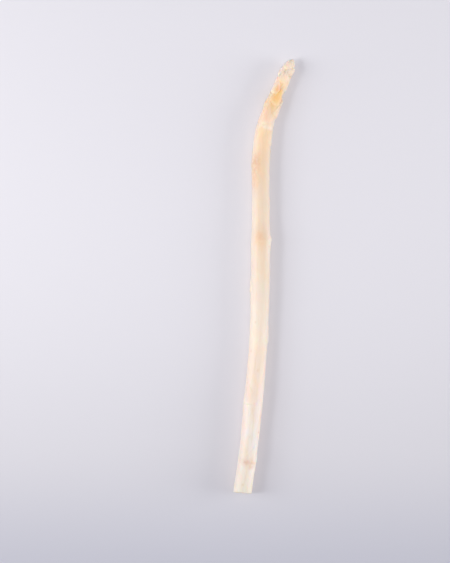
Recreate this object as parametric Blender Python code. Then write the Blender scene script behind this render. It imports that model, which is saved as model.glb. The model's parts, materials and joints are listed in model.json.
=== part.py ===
"""One spear of white asparagus, lying on its side, in metres with +Z up.

The spear grew as one shoot, so it is one solid: a long shaft with a cut butt at -Y, scale leaves that
clasp it in a spiral, and a bud of close, overlapping scale leaves at the tip, +Y. The origin is on the
surface that the spear rests on, under the middle of its box.
"""

import math
import random
from dataclasses import dataclass

import bmesh
import bpy
import numpy as np
from mathutils import Matrix, Vector

NODE_NAME = "spear"
METRES_PER_MM = 0.001

# The middle line seen from above: (distance forward from the butt, shift sideways), in mm.
MIDDLE_LINE_MM = (
    (0.0, 0.0),
    (24.0, 3.1),
    (54.0, 5.9),
    (85.0, 8.4),
    (116.0, 9.6),
    (147.0, 10.0),
    (178.0, 10.0),
    (193.0, 10.4),
    (204.0, 11.5),
    (214.0, 14.5),
    (224.0, 18.3),
    (234.0, 22.3),
    (241.0, 25.5),
    (246.5, 28.9),
)
# The radius of the bare shoot under its scale leaves: (distance along the middle line, radius), in mm.
RADIUS_MM = (
    (0.0, 5.20),
    (25.0, 5.10),
    (55.0, 5.15),
    (85.0, 5.00),
    (112.0, 5.20),
    (141.0, 5.30),
    (165.0, 5.05),
    (195.0, 5.05),
    (206.0, 4.75),
    (214.0, 4.30),
    (222.0, 3.80),
    (230.0, 3.40),
    (238.0, 2.85),
    (244.0, 2.10),
    (248.0, 1.10),
    (249.6, 0.30),
)
# How far the bare shoot would sink below the surface: its underside is a flat strip that deep.
REST_DEPTH_MM = 0.14
# The height of the middle line follows the radius up to here, and is level from here to the tip.
LEVEL_FROM_MM = 200.0

# Joints of the shaft, each with one leaf, from the butt up: (distance along the middle line, how far
# the shaft swells there under the leaf), in mm.
SHAFT_JOINTS_MM = (
    (16.5, 0.25),
    (37.5, 0.25),
    (58.0, 0.15),
    (84.0, 0.20),
    (112.0, 0.20),
    (141.0, 0.70),
    (162.5, 0.30),
    (183.0, 0.20),
    (196.0, 0.20),
    (203.0, 0.20),
)
SWELLING_LENGTH_MM = 4.2
# In the head each gap between joints is shorter than the one below it, by this ratio.
HEAD_START_MM = 209.3
HEAD_JOINTS = 16
HEAD_FIRST_GAP_MM = 4.0
HEAD_GAP_RATIO = 0.92
# Each leaf stands the golden angle further round than the one below it; 0 is up and 90 degrees +X.
FIRST_LEAF_AZIMUTH = math.radians(45.0)
GOLDEN_ANGLE = math.radians(137.5)

LEAF_LENGTH_MM = 12.6
# A leaf near the tip is no longer than this much and this share of the shoot above its joint.
LEAF_SPARE_MM = 1.9
LEAF_SHARE_OF_REST = 0.5
LEAF_HALF_ANGLE = math.radians(66.0)
LEAF_HALF_ANGLE_AT_TIP = math.radians(86.0)
# A leaf's width falls from its base to its tip as 1 - u ** power, and its corners sweep forward.
LEAF_OUTLINE_POWER = 1.35
LEAF_TIP_WIDTH_SHARE = 0.07
LEAF_BASE_SWEEP_MM = 2.2
# How far a leaf's face stands out from the shoot.
LEAF_MIDDLE_RISE_MM = 0.50
LEAF_EDGE_RISE_MM = 0.30
HEAD_TIP_RISE_MM = 0.60
# The side bud under a leaf lifts it a little, in the first half of its length.
BUD_RISE_MM = 0.25
BUD_PLACE = 0.3
BUD_LENGTH = 0.25
BUD_WIDTH = 0.45
# A leaf's root is this deep in the shoot, and its base comes out of the skin over this share.
LEAF_ROOT_DEPTH_MM = 0.50
LEAF_START_DEPTH_MM = 0.15
LEAF_START_SHARE = 0.16
# Over the last part of the shoot the leaves close in on its tip.
CLOSING_LENGTH_MM = 3.2
LEAF_LENGTH_VARIATION = 0.06
LEAF_AZIMUTH_VARIATION = math.radians(5.0)
LEAF_SEED = 11

# The cut leans so that its upper edge is further forward than its lower one.
BUTT_CHAMFER_MM = 0.35
BUTT_LEAN = math.radians(5.0)

# How finely the solid is faceted and the middle line is followed.
SHAFT_SIDES = 24
SHAFT_RING_STEP_MM = 5.0
HEAD_RING_STEP_MM = 2.4
LEAF_COLUMNS = 8
LEAF_ROWS = 7
MIDDLE_LINE_STEP_MM = 0.25
TANGENT_REACH_MM = 0.5
MERGE_MM = 0.005

SKIN_COLOUR = (0.87, 0.73, 0.58, 1.0)
SKIN_ROUGHNESS = 0.42
SHARP_EDGE_ANGLE = math.radians(35.0)


def spline(knots):
    """A natural cubic spline through (place, value) pairs, as a function of place."""
    places, values = (np.array(column) for column in zip(*knots))
    gaps = np.diff(places)
    slopes = np.diff(values) / gaps
    count = len(places)
    system = np.eye(count)
    targets = np.zeros(count)
    for i in range(1, count - 1):
        system[i, i - 1 : i + 2] = gaps[i - 1], 2 * (gaps[i - 1] + gaps[i]), gaps[i]
        targets[i] = 6 * (slopes[i] - slopes[i - 1])
    bends = np.linalg.solve(system, targets)

    def value(place):
        i = int(np.clip(np.searchsorted(places, place) - 1, 0, count - 2))
        gap = gaps[i]
        before, after = place - places[i], places[i + 1] - place
        curve = (bends[i] * after**3 + bends[i + 1] * before**3) / (6 * gap)
        line = (values[i] / gap - bends[i] * gap / 6) * after
        line += (values[i + 1] / gap - bends[i + 1] * gap / 6) * before
        return float(curve + line)

    return value


def smooth_step(value):
    """0 below 0 and 1 above 1, with a smooth rise between."""
    value = min(max(value, 0.0), 1.0)
    return value * value * (3 - 2 * value)


def blend(start, end, share):
    return start + (end - start) * share


@dataclass(frozen=True)
class Leaf:
    """A scale leaf: where it joins the shoot, which way it faces, and its size. In mm and radians."""

    base: float
    azimuth: float
    length: float
    half_angle: float
    tip_rise: float

    def outline(self, u):
        """Half the leaf's width, as an angle, u of the way from its base to its tip."""
        return self.half_angle * max(LEAF_TIP_WIDTH_SHARE, 1 - u**LEAF_OUTLINE_POWER)

    def spot(self, u, v):
        """(distance along the shoot, azimuth) u of the way up the leaf and v across, from -1 to 1."""
        at = self.base + self.length * u + LEAF_BASE_SWEEP_MM * v * v * (1 - u)
        return at, self.azimuth + v * self.outline(u)

    def rise(self, u, v):
        """How far the leaf's face stands out from the shoot's skin."""
        face = blend(LEAF_MIDDLE_RISE_MM, LEAF_EDGE_RISE_MM, v * v) + self.tip_rise * u * u
        bud = math.exp(-(((u - BUD_PLACE) / BUD_LENGTH) ** 2) - (v / BUD_WIDTH) ** 2)
        started = smooth_step(u / LEAF_START_SHARE)
        return blend(-LEAF_START_DEPTH_MM, face + BUD_RISE_MM * bud, started)


class Shoot:
    """The bare shoot and the leaves' places on it. Everything is in mm, as (distance along, azimuth)."""

    def __init__(self):
        self.sideways_at = spline(MIDDLE_LINE_MM)
        self.radius_at = spline(RADIUS_MM)
        self.length = RADIUS_MM[-1][0]
        self.forward = np.arange(0.0, self.length, MIDDLE_LINE_STEP_MM)
        sideways = [self.sideways_at(forward) for forward in self.forward]
        steps = np.hypot(np.diff(self.forward), np.diff(sideways))
        self.along = np.concatenate([[0.0], np.cumsum(steps)])
        self.leaves = self.place_leaves()

    def place_leaves(self):
        """The leaves in their spiral, from the butt to the tip."""
        joints = [joint for joint, _ in SHAFT_JOINTS_MM]
        joint, gap = HEAD_START_MM, HEAD_FIRST_GAP_MM
        for _ in range(HEAD_JOINTS):
            joints.append(joint)
            joint += gap
            gap *= HEAD_GAP_RATIO
        draw = random.Random(LEAF_SEED)
        leaves = []
        for number, base in enumerate(joints):
            rest = self.length - base
            in_head = max(0.0, 1 - rest / (self.length - HEAD_START_MM))
            length = LEAF_LENGTH_MM * (1 + LEAF_LENGTH_VARIATION * draw.uniform(-1, 1))
            turn = LEAF_AZIMUTH_VARIATION * draw.uniform(-1, 1)
            leaves.append(
                Leaf(
                    base=base,
                    azimuth=FIRST_LEAF_AZIMUTH + number * GOLDEN_ANGLE + turn,
                    length=min(length, LEAF_SPARE_MM + LEAF_SHARE_OF_REST * rest),
                    half_angle=blend(LEAF_HALF_ANGLE, LEAF_HALF_ANGLE_AT_TIP, in_head),
                    tip_rise=HEAD_TIP_RISE_MM if base >= HEAD_START_MM else 0.0,
                )
            )
        return leaves

    def centre(self, at):
        forward = float(np.interp(at, self.along, self.forward)) + min(at, 0.0)
        height = self.radius_at(min(at, LEVEL_FROM_MM)) - REST_DEPTH_MM
        return Vector((self.sideways_at(forward), forward, height))

    def point(self, at, azimuth, radius):
        """The point at this radius round the middle line; azimuth 0 is up and 90 degrees +X."""
        reach = TANGENT_REACH_MM
        ahead = (self.centre(at + reach) - self.centre(at - reach)).normalized()
        right = ahead.cross(Vector((0, 0, 1))).normalized()
        up = right.cross(ahead)
        return self.centre(at) + radius * (math.cos(azimuth) * up + math.sin(azimuth) * right)

    def skin_radius(self, at, azimuth):
        """The bare shoot's radius, with its swelling at each joint of the shaft."""
        radius = self.radius_at(min(at, self.length))
        for (joint, swelling), leaf in zip(SHAFT_JOINTS_MM, self.leaves):
            away = (at - joint) / SWELLING_LENGTH_MM
            facing = (1 + math.cos(azimuth - leaf.azimuth)) / 2
            radius += swelling * facing * math.exp(-away * away)
        return radius

    def leaf_radius(self, leaf, u, v):
        """The radius of a leaf's outer face, which closes in on the shoot's tip."""
        at, azimuth = leaf.spot(u, v)
        closing = math.sqrt(min(1.0, max(0.0, (self.length - at) / CLOSING_LENGTH_MM)))
        return self.skin_radius(at, azimuth) + leaf.rise(u, v) * closing


def finished(builder, name):
    """An object from the bmesh, in triangles, with doubles merged and faces pointing out."""
    bmesh.ops.remove_doubles(builder, verts=builder.verts, dist=MERGE_MM)
    bmesh.ops.recalc_face_normals(builder, faces=builder.faces)
    bmesh.ops.triangulate(builder, faces=builder.faces)
    mesh = bpy.data.meshes.new(name)
    builder.to_mesh(mesh)
    builder.free()
    return bpy.data.objects.new(name, mesh)


def make_shaft(shoot):
    """The bare shoot: a disc extruded once for each ring, then every ring set to its real place."""
    last = shoot.length
    lower = np.arange(BUTT_CHAMFER_MM, HEAD_START_MM, SHAFT_RING_STEP_MM)
    upper = np.arange(HEAD_START_MM, last - HEAD_RING_STEP_MM / 2, HEAD_RING_STEP_MM)
    rings = [0.0, *lower, *upper, last]
    builder = bmesh.new()
    bmesh.ops.create_circle(builder, cap_ends=True, segments=SHAFT_SIDES, radius=1.0)
    builder.faces.ensure_lookup_table()
    top = builder.faces[0]
    for _ in rings[1:]:
        grown = bmesh.ops.extrude_face_region(builder, geom=[top, *top.edges])["geom"]
        top = next(item for item in grown if isinstance(item, bmesh.types.BMFace))
        bmesh.ops.translate(builder, verts=top.verts, vec=(0, 0, 1))
    for vertex in builder.verts:
        azimuth = math.atan2(vertex.co.x, vertex.co.y)
        number = round(vertex.co.z)
        at = rings[number]
        radius = shoot.skin_radius(at, azimuth)
        if number == 0:
            radius -= BUTT_CHAMFER_MM
        if number <= 1:
            at += radius * math.cos(azimuth) * math.tan(BUTT_LEAN)
        vertex.co = shoot.point(at, azimuth, radius)
    return finished(builder, NODE_NAME)


def make_leaf(shoot, leaf):
    """A scale leaf: a grid extruded to a closed blade, with its root sunk in the shoot."""
    builder = bmesh.new()
    bmesh.ops.create_grid(builder, x_segments=LEAF_COLUMNS, y_segments=LEAF_ROWS, size=1.0)
    for vertex in builder.verts:
        vertex.co.z = 1.0
    grown = bmesh.ops.extrude_face_region(builder, geom=list(builder.faces))["geom"]
    roots = [item for item in grown if isinstance(item, bmesh.types.BMVert)]
    bmesh.ops.translate(builder, verts=roots, vec=(0, 0, -1))
    for vertex in builder.verts:
        v, u = vertex.co.x, (vertex.co.y + 1) / 2
        at, azimuth = leaf.spot(u, v)
        if vertex.co.z > 0.5:
            radius = shoot.leaf_radius(leaf, u, v)
        else:
            radius = max(LEAF_START_DEPTH_MM, shoot.skin_radius(at, azimuth) - LEAF_ROOT_DEPTH_MM)
        vertex.co = shoot.point(at, azimuth, radius)
    return finished(builder, "leaf")


def apply_boolean(target, operation, **settings):
    """Gives the object a Boolean modifier with these settings and applies it."""
    modifier = target.modifiers.new("shape", "BOOLEAN")
    modifier.operation = operation
    modifier.solver = "EXACT"
    for setting, value in settings.items():
        setattr(modifier, setting, value)
    graph = bpy.context.evaluated_depsgraph_get()
    mesh = bpy.data.meshes.new_from_object(target.evaluated_get(graph))
    target.modifiers.clear()
    target.data = mesh


def join_leaves(spear, shoot):
    """Fuses every scale leaf to the shoot in one union."""
    leaves = bpy.data.collections.new("leaves")
    bpy.context.scene.collection.children.link(leaves)
    for leaf in shoot.leaves:
        leaves.objects.link(make_leaf(shoot, leaf))
    apply_boolean(spear, "UNION", operand_type="COLLECTION", collection=leaves)
    for blade in list(leaves.objects):
        bpy.data.objects.remove(blade)
    bpy.data.collections.remove(leaves)


def flatten_underside(spear, shoot):
    """Cuts off what would lie below the surface, which leaves the flat strip that the spear rests on."""
    size = 2 * shoot.length
    below = Matrix.Translation((0, shoot.length / 2, -size / 2))
    builder = bmesh.new()
    bmesh.ops.create_cube(builder, size=size, matrix=below)
    cutter = finished(builder, "below_surface")
    bpy.context.scene.collection.objects.link(cutter)
    apply_boolean(spear, "DIFFERENCE", object=cutter)
    bpy.data.objects.remove(cutter)


def bodies_of(builder):
    """The vertices of each body of the bmesh that is joined to no other."""
    unseen = set(builder.verts)
    bodies = []
    while unseen:
        body, front = set(), [unseen.pop()]
        while front:
            vertex = front.pop()
            body.add(vertex)
            near = {edge.other_vert(vertex) for edge in vertex.link_edges} & unseen
            unseen -= near
            front.extend(near)
        bodies.append(body)
    return bodies


def keep_largest_body(spear):
    """Fills the pinholes that the union seals between leaves, and drops loose scraps."""
    builder = bmesh.new()
    builder.from_mesh(spear.data)
    bodies = sorted(bodies_of(builder), key=len)
    for scrap in bodies[:-1]:
        bmesh.ops.delete(builder, geom=list(scrap), context="VERTS")
    builder.to_mesh(spear.data)
    builder.free()


def stand_at_origin(spear):
    """Puts the middle of the box's underside at the origin, and turns mm to metres."""
    points = np.array([vertex.co for vertex in spear.data.vertices])
    low, high = points.min(axis=0), points.max(axis=0)
    middle = Vector(((low[0] + high[0]) / 2, (low[1] + high[1]) / 2, low[2]))
    spear.data.transform(Matrix.Scale(METRES_PER_MM, 4) @ Matrix.Translation(-middle))


def skin_material():
    """Pale ivory skin, slightly waxy."""
    material = bpy.data.materials.new("ivory_skin")
    material.use_nodes = True
    shader = material.node_tree.nodes["Principled BSDF"]
    shader.inputs["Base Color"].default_value = SKIN_COLOUR
    shader.inputs["Roughness"].default_value = SKIN_ROUGHNESS
    shader.inputs["Metallic"].default_value = 0.0
    return material


def main():
    for old in list(bpy.data.objects):
        bpy.data.objects.remove(old)
    shoot = Shoot()
    spear = make_shaft(shoot)
    bpy.context.scene.collection.objects.link(spear)
    join_leaves(spear, shoot)
    flatten_underside(spear, shoot)
    keep_largest_body(spear)
    stand_at_origin(spear)
    spear.data.materials.clear()
    spear.data.materials.append(skin_material())
    spear.data.shade_smooth()
    spear.data.set_sharp_from_angle(angle=SHARP_EDGE_ANGLE)


main()
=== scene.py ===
"""The looks of one spear of white asparagus, lying on a plain pale surface.

The spear is modelled straight, with its butt at y = 0 and its tip towards +Y: a shaft with a cut butt,
and scale leaves joined to it in one closed skin. It is then bent along its middle line to where the
frame's node lies. Lengths are in metres, +Z up, except values whose names end in _mm. An azimuth on the
spear is counted round its middle line, from straight up towards the right.
"""

import json
import logging
import math
import random
from collections.abc import Callable, Iterator, Sequence
from contextlib import contextmanager
from dataclasses import dataclass, field
from enum import Enum
from functools import cached_property

import bmesh
import bpy
import numpy as np
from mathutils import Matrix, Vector

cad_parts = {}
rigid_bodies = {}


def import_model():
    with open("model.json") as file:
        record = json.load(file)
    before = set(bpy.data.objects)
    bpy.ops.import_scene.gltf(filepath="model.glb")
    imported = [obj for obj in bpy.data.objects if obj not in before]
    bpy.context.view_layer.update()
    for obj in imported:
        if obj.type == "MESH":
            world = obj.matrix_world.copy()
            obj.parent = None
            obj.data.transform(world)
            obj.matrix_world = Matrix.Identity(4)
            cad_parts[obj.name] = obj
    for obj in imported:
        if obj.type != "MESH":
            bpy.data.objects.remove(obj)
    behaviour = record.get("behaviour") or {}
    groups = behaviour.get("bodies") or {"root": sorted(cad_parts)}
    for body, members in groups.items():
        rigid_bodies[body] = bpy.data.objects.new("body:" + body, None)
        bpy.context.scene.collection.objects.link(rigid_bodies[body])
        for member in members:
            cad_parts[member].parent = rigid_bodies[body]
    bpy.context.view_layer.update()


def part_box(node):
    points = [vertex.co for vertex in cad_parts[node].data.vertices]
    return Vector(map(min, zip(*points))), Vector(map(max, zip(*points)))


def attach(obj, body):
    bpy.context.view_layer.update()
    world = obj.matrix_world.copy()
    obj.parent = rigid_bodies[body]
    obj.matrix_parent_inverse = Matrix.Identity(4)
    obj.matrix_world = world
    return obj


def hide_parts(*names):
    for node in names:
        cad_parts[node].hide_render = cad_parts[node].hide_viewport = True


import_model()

logging.basicConfig(level=logging.INFO, format="%(message)s")
log = logging.getLogger("white_asparagus")

MM = 0.001
NODE = "spear"
BODY = "root"
PIECE_NAME = "spear_skin"

Piece = bpy.types.Object
Socket = bpy.types.NodeSocket
Knots = tuple[tuple[float, float], ...]
Colour = tuple[float, float, float]
Scale = float | tuple[float, float, float]


class Part(Enum):
    """The kinds of surface on the spear, by the index of their material."""

    SKIN = 0
    LEAF = 1
    CUT = 2
    BUD = 3


class Select(Enum):
    """What a selection in edit mode is made of."""

    POINTS = "VERT"
    EDGES = "EDGE"


class Mark(Enum):
    """The vectors that the mesh stores for its materials.

    They are a point's place on the straight spear; how far up and across its leaf it lies and how full
    the leaf is; the leaf's hue; and how much of each kind of stain and of the one painted highlight shows
    there.
    """

    STRAIGHT = "straight"
    LEAF_PLACE = "leaf_place"
    LEAF_HUES = "leaf_hues"
    BLEMISHES = "blemishes"


class Hue(Enum):
    """How far a scale leaf is flushed pink, ripened gold and dried tan, each from 0 to 1."""

    PLAIN = (0.15, 0.00, 0.05)
    BLUSH = (0.70, 0.00, 0.00)
    ROSE = (0.80, 0.15, 0.05)
    GOLD = (0.00, 0.45, 0.00)


class StainAndHighlight(Enum):
    """The kinds of stain on the skin, by their place in the stored vector. The pale kind also paints one
    highlight on the lit side of a knob.
    """

    BROWN = 0
    ORANGE = 1
    PALE = 2


def smooth_step(value: np.ndarray) -> np.ndarray:
    """0 below 0 and 1 above 1, with a smooth rise between."""
    held = np.clip(value, 0.0, 1.0)
    return held * held * (3 - 2 * held)


def blend(start: np.ndarray, end: np.ndarray, share: np.ndarray) -> np.ndarray:
    """The value that lies this share of the way from start to end."""
    return start + (end - start) * share


def mound(across: np.ndarray, lengthwise: np.ndarray | float = 0.0) -> np.ndarray:
    """1 in the middle of a soft spot, and about a third where either distance from it is 1."""
    return np.exp(-(across**2) - lengthwise**2)


def turned(azimuth: np.ndarray, start_deg: float) -> np.ndarray:
    """How far round from an azimuth in degrees others lie, the short way, in radians."""
    off = azimuth - math.radians(start_deg)
    return np.arctan2(np.sin(off), np.cos(off))


def round_axis(radius: np.ndarray, along: np.ndarray, azimuth: np.ndarray) -> np.ndarray:
    """Points at these radii, distances from the butt and azimuths on the straight spear."""
    return np.stack([radius * np.sin(azimuth), along, radius * np.cos(azimuth)], axis=-1)


def own_or_rule(own_mm: float | None, rule: float) -> float:
    """A leaf's own value where it has one, and otherwise what the rule gives."""
    return rule if own_mm is None else own_mm * MM


def linear(red: float, green: float, blue: float) -> tuple[float, float, float, float]:
    """A colour for a shader socket, by the curve that screens use (sRGB).

    Args:
        red: The red value as a screen shows it, from 0 to 255.
        green: The green value, likewise.
        blue: The blue value, likewise.

    Returns:
        The same colour in linear light, with full alpha.
    """
    shares = (value / 255 for value in (red, green, blue))
    light = [s / 12.92 if s <= 0.04045 else ((s + 0.055) / 1.055) ** 2.4 for s in shares]
    return (light[0], light[1], light[2], 1.0)


class Spline:
    """A natural cubic spline through (place, value) pairs."""

    def __init__(self, knots_mm: Knots) -> None:
        """Solves the spline.

        Args:
            knots_mm: The pairs that it goes through, in mm.
        """
        self.places, self.values = (np.array(column) * MM for column in zip(*knots_mm))
        self.gaps = np.diff(self.places)
        slopes = np.diff(self.values) / self.gaps
        count = len(self.places)
        system = np.eye(count)
        targets = np.zeros(count)
        for i in range(1, count - 1):
            before, after = self.gaps[i - 1], self.gaps[i]
            system[i, i - 1 : i + 2] = before, 2 * (before + after), after
            targets[i] = 6 * (slopes[i] - slopes[i - 1])
        self.bends = np.linalg.solve(system, targets)

    def __call__(self, place: np.ndarray) -> np.ndarray:
        """The spline's value.

        Args:
            place: The places to read it at, in metres.

        Returns:
            The value at each place, in metres.
        """
        i = np.clip(np.searchsorted(self.places, place) - 1, 0, len(self.gaps) - 1)
        gap = self.gaps[i]
        before, after = place - self.places[i], self.places[i + 1] - place
        curve = (self.bends[i] * after**3 + self.bends[i + 1] * before**3) / (6 * gap)
        start = (self.values[i] / gap - self.bends[i] * gap / 6) * after
        end = (self.values[i + 1] / gap - self.bends[i + 1] * gap / 6) * before
        return curve + start + end


@dataclass(frozen=True)
class SkinPatch:
    """A soft patch on the skin, at a place on the straight spear. Most are stains; one pale patch is a
    painted highlight on the lit side of a knob.
    """

    patch_kind: StainAndHighlight
    along_mm: float
    azimuth_deg: float
    length_mm: float
    width_mm: float
    strength: float

    def share(self, points: np.ndarray) -> np.ndarray:
        """How much of the patch shows.

        Args:
            points: Places on the straight spear.

        Returns:
            The share at each of them, from 0 to the patch's strength.
        """
        x, y, z = points.T
        across = np.hypot(x, z) * turned(np.arctan2(x, z), self.azimuth_deg)
        lengthwise = y - self.along_mm * MM
        return self.strength * mound(across / (self.width_mm * MM), lengthwise / (self.length_mm * MM))


@dataclass(frozen=True)
class Knob:
    """A small swelling of the skin, where a side bud lies under it."""

    along_mm: float
    azimuth_deg: float
    height_mm: float
    length_mm: float
    spread_deg: float

    def rise(self, along: np.ndarray, azimuth: np.ndarray) -> np.ndarray:
        """How far the knob lifts the skin.

        Args:
            along: Distances from the butt.
            azimuth: Azimuths on the spear.

        Returns:
            The lift at each of these places.
        """
        across = turned(azimuth, self.azimuth_deg) / math.radians(self.spread_deg)
        lengthwise = (along - self.along_mm * MM) / (self.length_mm * MM)
        return self.height_mm * MM * mound(across, lengthwise)


@dataclass(frozen=True)
class Ripples:
    """Low waves round the spear that wander along it, so that no two of its sides are alike."""

    height: float
    waves: tuple[int, ...]
    wander_length: float
    wander: float
    seed: int
    pace: tuple[float, float] = (0.7, 1.4)

    def at(self, along: np.ndarray, azimuth: np.ndarray) -> np.ndarray:
        """How far the waves lift the skin.

        Args:
            along: Distances from the butt.
            azimuth: Azimuths on the spear.

        Returns:
            The lift at each of these places.
        """
        draw = random.Random(self.seed)
        total = np.zeros(np.broadcast(along, azimuth).shape)
        for count in self.waves:
            start, phase = draw.uniform(0, math.tau), draw.uniform(0, math.tau)
            pace = draw.uniform(*self.pace) / self.wander_length
            total += np.cos(count * azimuth + start + self.wander * np.sin(along * pace + phase))
        return self.height * total / math.sqrt(len(self.waves))


@dataclass(frozen=True)
class LeafForm:
    """The form that all scale leaves share. Its shares are of the leaf's length or half width."""

    outline_power: float = 1.35
    tip_width_share: float = 0.10
    tip_round: float = 0.45 * MM
    tip_round_power: int = 6
    base_sweep: float = 2.2 * MM
    margin_wave: float = 0.030
    slow_waves: float = 8.0
    quick_waves: float = 21.0
    quick_share: float = 0.5
    middle_rise: float = 0.50 * MM
    edge_rise: float = 0.30 * MM
    margin_rise: float = 0.14 * MM
    margin_from: float = 0.72
    bud_rise: float = 0.25 * MM
    bud_place: float = 0.3
    bud_length: float = 0.25
    bud_width: float = 0.45
    keel_rise: float = 0.07 * MM
    keel_width: float = 0.11
    vein_rise: float = 0.012 * MM
    vein_pairs: int = 9
    start_depth: float = 0.15 * MM
    start_share: float = 0.16
    root_depth: float = 0.50 * MM
    free_from: float = 0.83
    free_within: float = 0.14
    free_margin: float = 0.16
    loose_fullness: float = 0.8
    tuck: float = 0.85
    tuck_from: float = 0.80
    thick_middle: float = 0.42 * MM
    thick_margin: float = 0.16 * MM
    thin_power: int = 3


@dataclass(frozen=True)
class Leaf:
    """One scale leaf: where it joins the shoot, which way it faces, its size and its hue.

    A place on it is u, how far up it lies from 0 to 1, and v, how far across it from -1 to 1. Its
    fullness says how far it stands out from the skin, where 1 is in full and 0 not at all.
    """

    number: int
    base: float
    azimuth: float
    length: float
    half_angle: float
    tip_rise: float
    hue: Hue
    fullness: float
    form: LeafForm = LeafForm()

    @property
    def loose(self) -> bool:
        """Whether the leaf's tip stands free, and isn't tucked into the skin."""
        return self.fullness >= self.form.loose_fullness

    def outline(self, u: np.ndarray, v: np.ndarray) -> np.ndarray:
        """Half the leaf's width as an angle.

        Args:
            u: How far up the leaf.
            v: How far across it. Its sign says which margin's waves count.

        Returns:
            The angle at each place.
        """
        form = self.form
        draw = random.Random(self.number)
        slow, quick = draw.uniform(0, math.tau), draw.uniform(0, math.tau)
        side = np.sign(v)
        wave = np.sin(form.slow_waves * u + slow + side)
        wave = wave + form.quick_share * np.sin(form.quick_waves * u + quick + 2 * side)
        width = np.maximum(form.tip_width_share, 1 - u**form.outline_power)
        return self.half_angle * width * (1 + form.margin_wave * wave)

    def spot(self, u: np.ndarray, v: np.ndarray) -> tuple[np.ndarray, np.ndarray]:
        """Where a place on the leaf lies on the shoot.

        Args:
            u: How far up the leaf.
            v: How far across it.

        Returns:
            The distance along the shoot and the azimuth.
        """
        sweep = self.form.base_sweep * v * v * (1 - u)
        rounding = self.form.tip_round * v * v * u**self.form.tip_round_power
        return self.base + self.length * u + sweep - rounding, self.azimuth + v * self.outline(u, v)

    def rise(self, u: np.ndarray, v: np.ndarray) -> np.ndarray:
        """How far the leaf's outer face stands out from the shoot's skin.

        Args:
            u: How far up the leaf.
            v: How far across it.

        Returns:
            The distance at each place, below 0 where the leaf starts under the skin.
        """
        form = self.form
        face = blend(form.middle_rise, form.edge_rise, v * v) + self.tip_rise * u * u
        bud = form.bud_rise * mound((u - form.bud_place) / form.bud_length, v / form.bud_width)
        keel = form.keel_rise * mound(v / form.keel_width) * np.sin(math.pi * u)
        veins = form.vein_rise * np.cos(math.pi * form.vein_pairs * v) * u * (1 - v * v)
        margin = smooth_step((np.abs(v) - form.margin_from) / (1 - form.margin_from))
        thinned = (form.edge_rise - form.margin_rise) * margin
        raised = face + bud + keel + veins - thinned
        if not self.loose:
            raised = raised * (1 - form.tuck * smooth_step((u - form.tuck_from) / (1 - form.tuck_from)))
        return blend(-form.start_depth, self.fullness * raised, smooth_step(u / form.start_share))

    def thickness(self, u: np.ndarray, v: np.ndarray) -> np.ndarray:
        """How thick the leaf is where it stands free of the shoot."""
        thinned = np.maximum(v * v, u**self.form.thin_power)
        return blend(self.form.thick_middle, self.form.thick_margin, thinned)

    def freedom(self, u: np.ndarray, v: np.ndarray) -> np.ndarray:
        """1 where the leaf stands free of the shoot, and 0 where it is rooted in it."""
        form = self.form
        return self.loose * smooth_step((u + form.free_margin * v * v - form.free_from) / form.free_within)


@dataclass(frozen=True)
class Trait:
    """What sets one scale leaf apart. What is left as None follows the rule for all of them."""

    hue: Hue = Hue.PLAIN
    fullness: float = 1.0
    turn_deg: float = 0.0
    base_mm: float | None = None
    length_mm: float | None = None
    tip_rise_mm: float | None = None


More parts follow.
